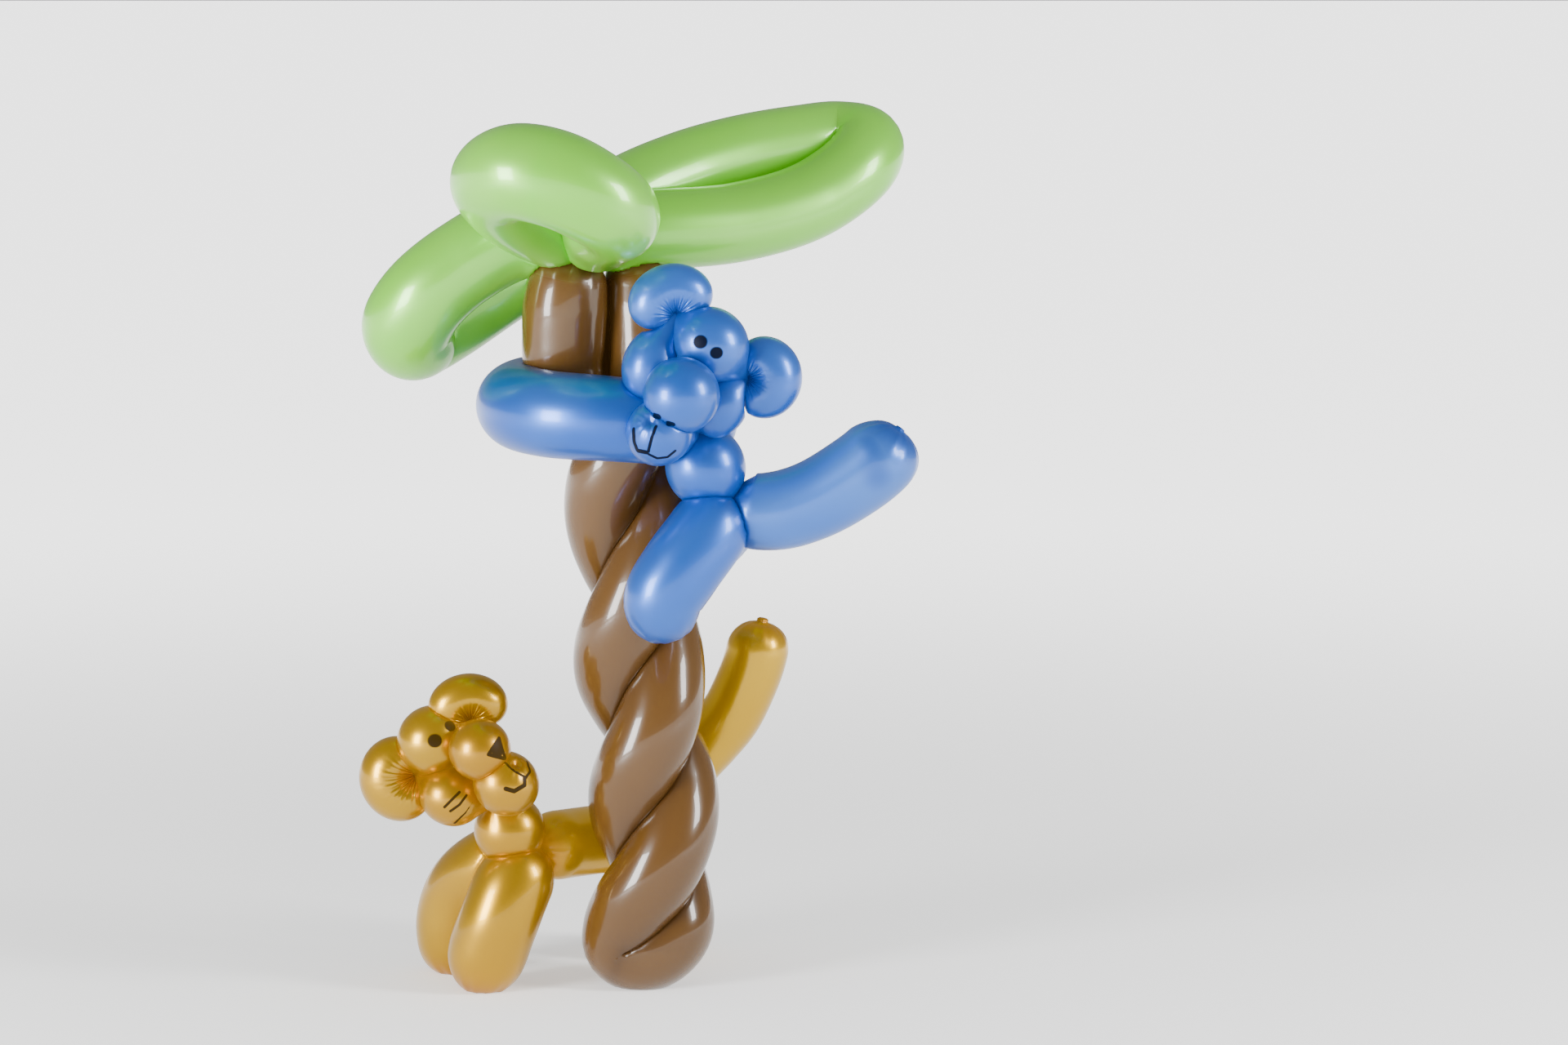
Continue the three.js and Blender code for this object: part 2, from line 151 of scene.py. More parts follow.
def lay_bubble(points, radius, fullness=(1,), ends=(1, 1), necks=(1, 1), step=1.8, sides=72, wrinkles=12,
               loop=False, teat=0.0):
    """A stretch of balloon along points, narrowing to its twist at each end."""
    line, length = spline(points)
    end = min(radius * 1.05, length * 0.48)
    turn = np.linspace(0, 1, 15)[:-1] ** 1.6
    middle = np.linspace(end, length - end, max(2, int((length - 2 * end) / step)))
    places = np.concatenate([turn * end, middle, (length - turn * end)[::-1]])
    u = places / length
    at = u * (len(line) - 1)
    centres = np.stack([np.interp(at, np.arange(len(line)), line[:, i]) for i in range(3)], axis=1)
    flow = unit(np.gradient(line, axis=0))
    tangents = unit(np.stack([np.interp(at, np.arange(len(line)), flow[:, i]) for i in range(3)], axis=1))
    first = shoulder(places / (end * ends[0]))
    last = shoulder((length - places - teat) / (end * ends[1]))
    neck = NECK_RADIUS * np.where(u < 0.5, necks[0], necks[1])
    radii = neck + (radius * smooth_table(fullness, u) - neck) * first * last
    if teat:
        radii *= teat_share(length - places, teat)
    side = np.cross([0, 0, 1.0] if abs(tangents[0][2]) < 0.8 else [0, 1.0, 0], tangents[0])
    sides_at = []
    for t in tangents:
        side = unit(side - t * side.dot(t))
        sides_at.append(side)
    side = np.array(sides_at)
    across = np.cross(tangents, side)
    angle = np.arange(sides) * 2 * math.pi / sides
    near = np.exp(-(places / (0.5 * end)) ** 2) + np.exp(-((length - places) / (0.5 * end)) ** 2)
    creases = np.sin(wrinkles * angle) + 0.5 * np.sin((wrinkles + 5) * angle + 1.3)
    skin = radii[:, None] * (1 + 0.022 * near[:, None] * creases[None])
    out = np.cos(angle)[None, :, None] * side[:, None] + np.sin(angle)[None, :, None] * across[:, None]
    grid = centres[:, None] + skin[:, :, None] * out
    bubble = Bubble(centres, tangents, radii, grid, np.repeat(near[:, None], sides, axis=1))
    if loop:
        middle_ring = len(centres) // 2
        bubble.halves = [(0, middle_ring), (middle_ring, len(centres))]
    return bubble


def press(bubbles, firm=(), hug=0.6, shade=2.5):
    """Flattens bubbles where they meet; firm ones keep their shape and the others give way.

    hug is how far a skin sinks into a firm one, and shade how far from a contact its painted shade
    and painted glow reach, both in millimetres.
    """
    stretches = [(b, half) for b in bubbles for half in b.halves]
    laid = {id(b): b.grid.copy() for b in bubbles}
    for b, (low, high) in stretches:
        start = laid[id(b)][low:high].reshape(-1, 3)
        inner = np.repeat(b.centres[low:high], b.grid.shape[1], axis=0)
        room = np.linalg.norm(start - inner, axis=1)
        others = [(o, h, False) for o, h in stretches if not (o is b and h == (low, high))]
        others += [(o, (0, len(o.centres)), True) for o in firm]
        moved = np.zeros(len(start))
        touch = np.zeros(len(start))
        for other, rings, is_firm in others:
            lowest, highest = other.reach()
            reached = ((start > lowest - 4) & (start < highest + 4)).all(1)
            if not reached.any():
                continue
            places = np.flatnonzero(reached)
            clear = other.depth(start[places], rings)
            touch[places] = np.maximum(touch[places], np.exp(-np.maximum(clear, 0) / shade))
            places = places[clear < -0.02]
            if not len(places):
                continue
            below = np.zeros(len(places))
            above = np.full(len(places), 0.97)
            for _ in range(11):
                half = (below + above) / 2
                p = start[places] + (inner[places] - start[places]) * half[:, None]
                own = -hug if is_firm else -half * room[places] - SQUEEZE_OVERLAP
                free = other.depth(p, rings) > own
                above = np.where(free, half, above)
                below = np.where(free, below, half)
            moved[places] = np.maximum(moved[places], above)
        pressed = start + (inner - start) * moved[:, None]
        shape = b.grid[low:high].shape
        b.grid[low:high] = pressed.reshape(shape)
        b.touch[low:high] = touch.reshape(shape[:2])


def skin_mesh(name, bubbles):
    """One mesh from the skins of a balloon's bubbles, each closed at both ends."""
    verts, faces, twist, touch, thin_and_glow = [], [], [], [], []
    for b in bubbles:
        rings, sides = b.grid.shape[:2]
        base = sum(len(v) for v in verts)
        poles = np.stack([b.grid[0].mean(0), b.grid[-1].mean(0)])
        verts.append(np.vstack([b.grid.reshape(-1, 3), poles]))
        twist.append(np.concatenate([b.twist.reshape(-1), [b.twist[0, 0], b.twist[-1, 0]]]))
        touch.append(np.concatenate([b.touch.reshape(-1), [1, 1]]))
        thin_and_glow.append(np.full(rings * sides + 2, b.thin_and_glow))
        first_pole = base + rings * sides
        for j in range(sides):
            k = (j + 1) % sides
            faces.append((first_pole, base + k, base + j))
            last = base + (rings - 1) * sides
            faces.append((first_pole + 1, last + j, last + k))
            faces += [(base + i * sides + j, base + i * sides + k, base + (i + 1) * sides + k,
                       base + (i + 1) * sides + j) for i in range(rings - 1)]
    mesh = bpy.data.meshes.new(name)
    mesh.from_pydata((np.vstack(verts) * MM).tolist(), [], faces)
    for label, values in (("twist", twist), ("touch", touch), ("thin_and_glow", thin_and_glow)):
        layer = mesh.attributes.new(label, "FLOAT", "POINT")
        layer.data.foreach_set("value", np.clip(np.concatenate(values), 0, 1).astype(np.float32))
    mesh.polygons.foreach_set("use_smooth", [True] * len(mesh.polygons))
    mesh.update()
    balloon = bpy.data.objects.new(name, mesh)
    bpy.context.scene.collection.objects.link(balloon)
    return balloon


class Wire:
    """A socket's value in a material, written as plain arithmetic."""

    def __init__(self, tree, socket):
        self.tree = tree
        self.socket = socket

    def node(self, kind, values, output=0, **settings):
        made = self.tree.nodes.new(kind)
        for key, value in settings.items():
            setattr(made, key, value)
        for key, value in values.items():
            if isinstance(value, Wire):
                self.tree.links.new(value.socket, made.inputs[key])
            else:
                made.inputs[key].default_value = value
        return Wire(self.tree, made.outputs[output])

    def maths(self, operation, *values):
        return self.node("ShaderNodeMath", dict(enumerate(values)), operation=operation)

    def vector(self, operation, *values, output=0):
        return self.node("ShaderNodeVectorMath", dict(enumerate(values)), output, operation=operation)

    def __add__(self, other):
        return self.maths("ADD", self, other)

    __radd__ = __add__

    def __sub__(self, other):
        return self.maths("SUBTRACT", self, other)

    def __rsub__(self, other):
        return self.maths("SUBTRACT", other, self)

    def __mul__(self, other):
        return self.maths("MULTIPLY", self, other)

    __rmul__ = __mul__

    def least(self, other):
        return self.maths("MINIMUM", self, other)

    def most(self, other):
        return self.maths("MAXIMUM", self, other)

    def ramp(self, low, high):
        return self.node("ShaderNodeMapRange", {0: self, 1: low, 2: high}, interpolation_type="SMOOTHSTEP")

    def mix(self, low, high):
        """A colour between low and high, by this value."""
        return self.node("ShaderNodeMix", {0: self, 6: low, 7: high}, 2, data_type="RGBA")


def latex(name, colour, deep, pale, constants, glow=(0, 0, 0, 1), fold_shade=0.4, ink=(), shadows=()):
    """Balloon latex: deeper where it is drawn into a twist, paler where it is blown fuller, with
    painted shade near where bubbles touch and along the given shadows, and a painted glow.
    """
    material = bpy.data.materials.new(name)
    material.use_nodes = True
    tree = material.node_tree
    shader = tree.nodes["Principled BSDF"]
    place = Wire(tree, tree.nodes.new("ShaderNodeTexCoord").outputs["Object"])
    twist = place.node("ShaderNodeAttribute", {}, "Fac", attribute_name="twist")
    touch = place.node("ShaderNodeAttribute", {}, "Fac", attribute_name="touch")
    cloud = place.node("ShaderNodeTexNoise", {"Vector": place, "Scale": 14.0, "Detail": 2.0})
    thin_and_glow = place.node("ShaderNodeAttribute", {}, "Fac", attribute_name="thin_and_glow")
    shade = (cloud.ramp(0.35, 0.7) * 0.3 + thin_and_glow).least(1.0).mix(colour, pale)
    # The twist term is the latex's own deeper tone. The touch term, scaled by fold_shade, is painted shade
    # near where bubbles press together.
    twist_tone_and_painted_shade = (twist * 0.95 + touch * fold_shade).least(1.0)
    if shadows:
        twist_tone_and_painted_shade = twist_tone_and_painted_shade.most(marker_mask(place, shadows, 0.1) * 0.6)
    shade = twist_tone_and_painted_shade.mix(shade, deep)
    rough = twist * 0.12 + constants["Roughness"]
    for key, value in constants.items():
        shader.inputs[key].default_value = value
    if ink:
        drawn = marker_mask(place, ink, 0.87)
        shade = drawn.mix(shade, (0.006, 0.006, 0.008, 1))
        rough = rough + drawn * 0.12
        metal = drawn * (1 - constants["Metallic"]) + constants["Metallic"]
        coat = (1 - drawn) * constants["Coat Weight"]
        tree.links.new(metal.socket, shader.inputs["Metallic"])
        tree.links.new(coat.socket, shader.inputs["Coat Weight"])
    tree.links.new(shade.socket, shader.inputs["Base Color"])
    tree.links.new(rough.socket, shader.inputs["Roughness"])
    # Painted light: an emission glow stands in for light passing through the latex. It is fullest near
    # contacts and on fuller-blown bubbles.
    if max(glow[:3]) > 0:
        painted_glow = (touch * 0.6).most(thin_and_glow).mix(tuple(0.3 * v for v in glow), glow)
        tree.links.new(painted_glow.socket, shader.inputs["Emission Color"])
        shader.inputs["Emission Strength"].default_value = 1.0
    fine = place.node("ShaderNodeTexNoise", {"Vector": place, "Scale": 260.0, "Detail": 1.0})
    bump = place.node("ShaderNodeBump", {"Height": fine, "Strength": 0.03, "Distance": 0.0005})
    tree.links.new(bump.socket, shader.inputs["Normal"])
    return material


def marker_mask(place, strokes, edge):
    """1 where a stroke runs: each is two ends and half a width, in metres; edge is where it fades."""
    mask = None
    for a, b, width in strokes:
        a, b = np.array(a, float), np.array(b, float)
        run = b - a
        from_a = place.vector("SUBTRACT", place, tuple(a))
        share = from_a.vector("DOT_PRODUCT", from_a, tuple(run / max(run.dot(run), 1e-12)), output=1)
        share = share.most(0.0).least(1.0)
        nearest = place.node("ShaderNodeVectorMath", {0: tuple(run), 3: share}, operation="SCALE")
        away = from_a.vector("LENGTH", from_a.vector("SUBTRACT", from_a, nearest), output=1)
        inked = 1 - away.ramp(width * edge, width * (2 - edge))
        mask = inked if mask is None else mask.most(inked)
    return mask


def table_at(table, z):
    return np.interp(z, [row[0] for row in table], [row[1] for row in table])


def strand_point(z, phase):
    """The middle of one half of the trunk's balloon at height z."""
    angle = math.pi * (table_at(HALF_TURNS, z) + phase)
    offset = TWIST_RADIUS + (TOP_SPREAD - TWIST_RADIUS) * table_at(TOP_SPREADING, z)
    return table_at(TRUNK_LEAN, z) + offset * math.cos(angle), offset * math.sin(angle), z


fold_height = TRUNK_RADIUS + TWIST_RADIUS - FOOT_DEPTH
heights = np.linspace(fold_height, TRUNK_TOP, 25)
trunk_path = [strand_point(z, 0) for z in heights[::-1]]
for turn in np.linspace(0, math.pi, 5)[1:-1]:
    z = fold_height - TWIST_RADIUS * math.sin(turn)
    angle = math.pi * table_at(HALF_TURNS, z)
    out = TWIST_RADIUS * math.cos(turn)
    trunk_path.append((table_at(TRUNK_LEAN, z) + out * math.cos(angle), out * math.sin(angle), z))
trunk_path += [strand_point(z, 1) for z in heights]
trunk_girths = [table_at(TRUNK_GIRTH, place[2]) for place in trunk_path]
strands = [lay_bubble(trunk_path, TRUNK_RADIUS, trunk_girths, sides=88, loop=True)]
# The 6 mm reach spreads a painted shade beside the creases where the halves touch.
press(strands, shade=6.0)
for tube in strands:
    tube.grid[:, :, 2] = np.maximum(tube.grid[:, :, 2], 0)

# fold_shade deepens the painted shade in the creases between the halves, and the glow is painted light
# lifting them.
brown = latex("brown latex", (0.088, 0.04, 0.008, 1), (0.032, 0.012, 0.002, 1), (0.102, 0.049, 0.011, 1),
              {"Roughness": 0.25, "Coat Weight": 0.45, "Coat Roughness": 0.04, "Specular IOR Level": 0.3,
               "Subsurface Weight": 0.08, "Subsurface Scale": 0.01, "Subsurface Radius": (1, 0.6, 0.4)},
              glow=(0.022, 0.01, 0.002, 1), fold_shade=0.8)
palm_trunk = skin_mesh("palm_trunk_balloon", strands)
palm_trunk.data.materials.append(brown)
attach(palm_trunk, "root")
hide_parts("palm_trunk")

# The palm leaves are one green pearl balloon twisted into three folded loops. The loops meet in
# one twist that sits between the tops of the trunk's halves, and rest on them.

CROWN_TWIST = (-38, -6, 462)
LEAVES = [
    (24.0, (1.02, 1.02, 1, 1, 1.02), [
        CROWN_TWIST, (2, 6, 465), (57, 31, 469), (102, 53, 482), (131, 71, 503), (134, 85, 514),
        (118, 95, 517), (95, 86, 515), (57, 70, 509), (20, 50, 499), (-16, 24, 483), CROWN_TWIST]),
    (25.5, (1, 1, 1.12, 1, 1), [
        CROWN_TWIST, (-64, -34, 474), (-79, -64, 486), (-84, -92, 499), (-69, -112, 505), (-45, -117, 500),
        (-20, -109, 486), (-14, -92, 478), (-21, -64, 473), (-26, -33, 468), CROWN_TWIST]),
    (26.5, (1, 1, 1.06, 1, 0.96), [
        CROWN_TWIST, (-77, -3, 462), (-109, -6, 446), (-132, -6, 427), (-144, 4, 409), (-143, 17, 401),
        (-139, 27, 402), (-121, 34, 412), (-95, 33, 429), (-66, 17, 449), CROWN_TWIST]),
]
leaves = [lay_bubble(path, radius, fullness, loop=True) for radius, fullness, path in LEAVES]
press(leaves, firm=strands)

# The glow is painted light: an emission standing in for light passing through the green latex.
green = latex("green pearl latex", (0.15, 0.5, 0.022, 1), (0.06, 0.45, 0.0, 1), (0.22, 0.54, 0.07, 1),
              {"Roughness": 0.36, "Coat Weight": 0.6, "Coat Roughness": 0.12, "Metallic": 0.3,
               "Subsurface Weight": 0.3, "Subsurface Scale": 0.02, "Subsurface Radius": (0.5, 1, 0.3)},
              glow=(0.04, 0.16, 0.0, 1))
palm_leaves = skin_mesh("palm_leaves_balloon", leaves)
palm_leaves.data.materials.append(green)
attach(palm_leaves, "root")
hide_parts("palm_leaves")

# The blue monkey is one blue pearl balloon. Its head is a ring of short bubbles and two pinched
# ears with the muzzle pushed through it, its arms are one loop round the trunk, and its face is
# drawn on with a black marker.

NECK = (31, -46, 350)
HIP = (50, -36, 304)
TOP_EAR_PINCH = (20, -68, 418)
RIGHT_EAR_PINCH = (61, -60, 381)
BLUE_FOREHEAD = (41, -72, 402)
BLUE_MUZZLE = (24, -97, 374)
BLUE_MOUTH = (11, -93, 352)
VIEW_TILT_DEGREES = 6.75
LONGEST_MARK = 4.0


class Ball(Bubble):
    """A short bubble, whose distance is measured from one centre."""

    def __init__(self, centre, along, radius, stretch, grid, twist):
        rings = len(grid)
        widest = np.full(rings, radius * max(stretch, 1))
        middles = np.repeat(centre[None], rings, axis=0)
        super().__init__(middles, np.repeat(along[None], rings, axis=0), widest, grid, twist)
        self.centre = centre
        self.along = along
        self.radius = radius
        self.stretch = stretch

    def depth(self, points, rings):
        offset = points - self.centre
        ahead = (offset @ self.along)[:, None] * self.along
        scaled = (offset - ahead) + ahead / self.stretch
        far = np.linalg.norm(scaled, axis=1)
        steep = np.linalg.norm((offset - ahead) + ahead / self.stretch**2, axis=1)
        return (far - self.radius) * far / np.maximum(steep, 1e-6)


def lay_ball(centre, radius, stretch=1.0, along=(0, 0, 1), ties=(), puckers=(), sides=84, rings=56):
    """A short bubble, drawn out to a wrinkled neck towards each twist it hangs from."""
    centre = np.array(centre, float)
    along = unit(np.array(along, float))
    turn = np.linspace(0, math.pi, rings + 2)[1:-1]
    height = -np.cos(turn) * radius * stretch
    radii = np.sin(turn) * radius
    side = unit(np.cross(along, [0, 1.0, 0] if abs(along[1]) < 0.8 else [1.0, 0, 0]))
    across = np.cross(along, side)
    angle = np.arange(sides) * 2 * math.pi / sides
    out = np.cos(angle)[None, :, None] * side + np.sin(angle)[None, :, None] * across
    grid = (centre + height[:, None] * along)[:, None] + radii[:, None, None] * out
    twist = np.zeros(grid.shape[:2])
    away = grid - centre
    facing = unit(away)
    for tie in ties:
        towards = np.array(tie, float) - centre
        distance = np.linalg.norm(towards)
        towards /= distance
        off = np.arccos(np.clip(facing @ towards, -1, 1))
        draw = max(distance - radius * 0.98, 0)
        near = np.exp(-((off / 0.32) ** 2))
        first = unit(np.cross(towards, [0.8, 0.1, 0.3]))
        second = np.cross(towards, [0.3, 0.5, 0.8])
        spin = np.arctan2(away @ second, away @ first)
        ripple = 0.012 * radius * np.exp(-((off / 0.6) ** 2)) * np.sin(11 * spin)
        grid += facing * (near * draw + ripple * np.minimum(off / 0.15, 1))[..., None]
        twist = np.maximum(twist, np.exp(-((off / 0.42) ** 2)) * min(draw / 3 + 0.3, 1))
    for spot in puckers:
        towards = unit(np.array(spot, float))
        off = np.arccos(np.clip(facing @ towards, -1, 1))
        first = unit(np.cross(towards, [0.8, 0.1, 0.3]))
        spin = np.arctan2(facing @ np.cross(towards, first), facing @ first)
        folds = np.sin(13 * spin) + 0.5 * np.sin(21 * spin + 1)
        fan = np.exp(-((off / 0.42) ** 2)) * np.minimum(off / 0.1, 1)
        dent = -0.13 * np.exp(-((off / 0.17) ** 2)) + 0.02 * fan * folds
        grid += facing * (radius * dent)[..., None]
        # Besides the gathered latex's own deep tone, this colour is stronger in the troughs of the folds, as
        # painted shade.
        twist = np.maximum(twist, np.exp(-((off / 0.3) ** 2)) * (0.9 - 0.25 * folds))
    return Ball(centre, along, radius, stretch, grid, twist)


def lay_ear(pinch, outward, facing, radius, wide=1.0, fan=0.42, folds=24, rings=168, sides=56):
    """A bubble doubled round so that both its ends meet in one wrinkled pinch."""
    pinch = np.array(pinch, float)
    out = unit(np.array(outward, float))
    axis = np.array(facing, float)
    axis = unit(axis - out * axis.dot(out))
    sideways = np.cross(axis, out)
    spread = math.radians(125)
    t = np.linspace(0.015, 0.985, rings)
    angle = -spread + 2 * spread * t
    radii = radius * np.sin(math.pi * t) ** 0.6
    radial = np.cos(angle)[:, None] * out + np.sin(angle)[:, None] * sideways * wide
    a = np.arange(sides) * 2 * math.pi / sides
    away = np.maximum(radii[:, None] * (1 + np.cos(a)[None]), 0.15)
    share = away / radii[:, None]
    funnel = np.sin(np.minimum(share, 1) * math.pi / 2) ** (2 * fan)
    lift = radii[:, None] * np.where(np.cos(a) < 0, np.sign(np.sin(a)) * funnel, np.sin(a))
    crumple = np.sin(folds * angle) + 0.7 * np.sin((folds * 1.6) * angle + 0.8) + 0.4 * np.sin(7 * angle)
    near = np.exp(-((away / (1.45 * fan * radius)) ** 2))
    ripple = 0.5 * near * np.minimum(away / 2.5, 1) * crumple[:, None]
    lift = lift + ripple * np.sign(lift)
    grid = pinch + away[..., None] * radial[:, None] - lift[..., None] * axis
    centres = pinch + radial * radii[:, None]
    tangents = unit(np.gradient(centres, axis=0))
    # Besides the pinch's own deep tone, this colour is stronger in the troughs of the crumples, as painted
    # shade.
    twist = np.clip(np.exp(-((away / (fan * radius)) ** 2)) * (1 - 0.22 * crumple[:, None]), 0, 1)
    return Bubble(centres, tangents, radii, grid, twist)


def seen(centre, radius, right, up):
    """The place on a bubble's front that lies right and up of its middle, as the photo sees it."""
    tilt = math.radians(VIEW_TILT_DEGREES)
    forward = math.sqrt(max(radius**2 - right**2 - up**2, 0))
    return tuple(MM * v for v in (centre[0] + right,
                                  centre[1] + up * math.sin(tilt) - forward * math.cos(tilt),
                                  centre[2] + up * math.cos(tilt) + forward * math.sin(tilt)))


def stroke(centre, radius, places, width):
    """A marker line through places on a bubble, cut short enough to follow its curve."""
    lines = []
    for (x0, z0), (x1, z1) in zip(places[:-1], places[1:]):
        count = max(1, math.ceil(math.hypot(x1 - x0, z1 - z0) / LONGEST_MARK))
        for i in range(count):
            ends = [(x0 + (x1 - x0) * s / count, z0 + (z1 - z0) * s / count) for s in (i, i + 1)]
            lines.append((seen(centre, radius, *ends[0]), seen(centre, radius, *ends[1]), width * MM))
    return lines


def deepen(bubble, amount):
    """A bubble blown less full keeps a deeper colour."""
    bubble.twist = np.maximum(bubble.twist, amount)
    return bubble


def blow_thin_and_glow(bubble, amount):
    """A bubble blown fuller is paler, and the same value gives it the full painted glow."""
    bubble.thin_and_glow = amount
    return bubble


blue_bubbles = [
    lay_ball((5.5, -70, 389), 17.2, 1.3, (0.25, 0, 1), [NECK, TOP_EAR_PINCH]),
    deepen(lay_ball((47, -61, 365), 15.8, 1.3, (0.5, 0, 1), [NECK, RIGHT_EAR_PINCH]), 0.15),
    lay_ball(BLUE_FOREHEAD, 21.6, 1.08, (41, 8, -37), [TOP_EAR_PINCH, RIGHT_EAR_PINCH]),
    deepen(lay_ball(BLUE_MUZZLE, 22.5, 1.0, (0, 0, 1), [NECK]), 0.12),
    deepen(lay_ball(BLUE_MOUTH, 20.3, 0.95, (1, 0, -0.6), [BLUE_MUZZLE], [(-5, -16.5, 7.5)]), 0.25),
    lay_ball((37, -42, 326), 24.0, 1.06, (19, 10, -46), [NECK, HIP]),
    blow_thin_and_glow(lay_ear(TOP_EAR_PINCH, (-3, 1, 10), (0.1, -1, 0.2), 15.8, 1.12, fan=0.34), 0.3),
    lay_ear(RIGHT_EAR_PINCH, (10, 1, 0.2), (0, -1, 0), 17, fan=0.27),
    lay_bubble([NECK, (8, -57, 354), (-24, -60, 357), (-52, -50, 358), (-71, -26, 359), (-77, 2, 360),
                (-70, 30, 361), (-50, 52, 361), (-20, 61, 360), (6, 52, 357), (26, 26, 354),
                (31, -6, 351), NECK], 26, (0.94, 1, 1, 1, 0.92), loop=True),
    lay_bubble([HIP, (37, -51, 286), (22, -58, 266), (12, -58, 248), (17, -46, 226)], 24, (1, 1.02, 0.96)),
    lay_bubble([HIP, (44, -4, 288), (32, 34, 272), (12, 54, 257), (0, 58, 238)], 24),
    blow_thin_and_glow(lay_bubble([HIP, (64, -37, 299), (82, -38, 299.5), (102, -40, 306), (122, -42, 317.5),
                          (140, -44, 331.5), (154, -45.5, 350)], 24, (0.94, 1, 1.02, 1.0), ends=(0.7, 0.9),
                         teat=1.2), 0.6),
]
press(blue_bubbles, firm=strands)

tail_shadows = [((0.134, -0.066, 0.344), (0.1395, -0.066, 0.3235), 0.007),
                ((0.152, -0.056, 0.3545), (0.162, -0.056, 0.351), 0.006)]
blue_ink = []
for right, up, width in ((-6, 0.5, 4.0), (3.5, -6, 3.6)):
    blue_ink += stroke(BLUE_FOREHEAD, 21.6, [(right - 0.3, up), (right + 0.3, up)], width)
for right, up, width in ((-14, -12.5, 1.9), (-6, -17, 1.9), (-12, -18.4, 1.6)):
    blue_ink += stroke(BLUE_MUZZLE, 22.5, [(right - 1, up + 0.3), (right + 1, up - 0.3)], width)
blue_ink += stroke(BLUE_MOUTH, 20.0, [(-1.5, 3), (-4, -4), (-6, -11.5)], 1.0)
blue_ink += stroke(BLUE_MOUTH, 20.0, [(-15, 1), (-14.5, -6), (-12.5, -11), (-7.5, -12)], 1.6)
blue_ink += stroke(BLUE_MOUTH, 20.0, [(-6, -13), (-1, -15.5), (5, -15), (9.5, -11.5)], 1.0)

# The glow is painted light: an emission standing in for light passing through the blue latex.
blue = latex("blue pearl latex", (0.005, 0.08, 0.4, 1), (0.001, 0.045, 0.27, 1), (0.05, 0.16, 0.5, 1),
             {"Roughness": 0.35, "Coat Weight": 0.3, "Coat Roughness": 0.12, "Metallic": 0.5,
              "Subsurface Weight": 0.2, "Subsurface Scale": 0.015, "Subsurface Radius": (0.3, 0.6, 1)},
             glow=(0.0, 0.02, 0.1, 1), ink=blue_ink, shadows=tail_shadows)
blue_monkey = skin_mesh("blue_monkey_balloon", blue_bubbles)
blue_monkey.data.materials.append(blue)
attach(blue_monkey, "root")
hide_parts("blue_monkey")

# The gold animal is one gold pearl balloon that stands at the tree's foot. Its body runs behind
# the trunk to its hind legs and tail, and its eyes, nose, mouth and whiskers are marker.

PAW_DEPTH = 2.5
NAPE = (-92, -22, 120)
SHOULDER = (-68, 0, 86)
RUMP = (10, 66, 86)
GOLD_TOP_PINCH = (-107, -21, 168)
GOLD_LEFT_PINCH = (-139, -16, 135)
GOLD_CHEEK = (-118, -26, 123)
GOLD_FOREHEAD = (-130, -22, 157)
GOLD_MUZZLE = (-99.5, -42, 154.5)
GOLD_MOUTH = (-84, -38, 133)
gold_bubbles = [
    deepen(lay_ball(GOLD_CHEEK, 18, 1.1, (1, 0, -0.4), [NAPE, GOLD_LEFT_PINCH]), 0.3),
    lay_ball((-98, -14, 146), 16, 1.2, (0.3, 0, -1), [NAPE, GOLD_TOP_PINCH]),
    lay_ball(GOLD_FOREHEAD, 20.8, 1.05, (31, 0, 33), [GOLD_TOP_PINCH, GOLD_LEFT_PINCH]),
    deepen(lay_ball(GOLD_MUZZLE, 18.8, 1.0, (0, 0, 1), [NAPE]), 0.4),
    deepen(lay_ball(GOLD_MOUTH, 19.5, 1.05, (1, 0, -0.8), [GOLD_MUZZLE], [(7, -11, 14)]), 0.25),
    deepen(lay_ball((-84, -8, 99), 21.8, 1.0, (0, 0, 1), [NAPE, SHOULDER]), 0.2),
    lay_ear(GOLD_TOP_PINCH, (-1, 1, 10), (0.15, -1, 0.2), 14.8, 1.14, fan=0.34),
    lay_ear(GOLD_LEFT_PINCH, (-10, 1, -2.6), (0, -1, 0), 18.3),
    lay_bubble([SHOULDER, (-81, -11, 67), (-89, -15, 48), (-97, -12, 26), (-105, -8, -PAW_DEPTH)], 22.5,
               (1, 1.09, 1.1, 0.95)),
    lay_bubble([SHOULDER, (-95, 14, 73), (-114, 30, 55), (-122, 38, 32), (-120, 41, -PAW_DEPTH)], 22.5,
               (1, 1.08, 1.06, 0.96)),
    blow_thin_and_glow(lay_bubble([SHOULDER, (-50, 26, 84), (-24, 51, 83), (-6, 62, 84), RUMP], 21.5), 0.8),
    lay_bubble([RUMP, (0, 72, 66), (-11, 79, 36), (-13, 82, -PAW_DEPTH)], 19),
    lay_bubble([RUMP, (10, 84, 68), (6, 98, 38), (5, 103, -PAW_DEPTH)], 19),
    blow_thin_and_glow(lay_bubble([RUMP, (14, 68, 106), (25, 66, 128), (38, 64, 143), (50, 62, 158), (59, 60, 176),
                          (66, 59, 195), (71, 58, 221)], 19.5, ends=(1, 0.9), necks=(1, 1.2), teat=3.0), 0.6),
]
press(gold_bubbles, firm=strands)
for bubble in gold_bubbles:
    bubble.grid[:, :, 2] = np.maximum(bubble.grid[:, :, 2], 0)

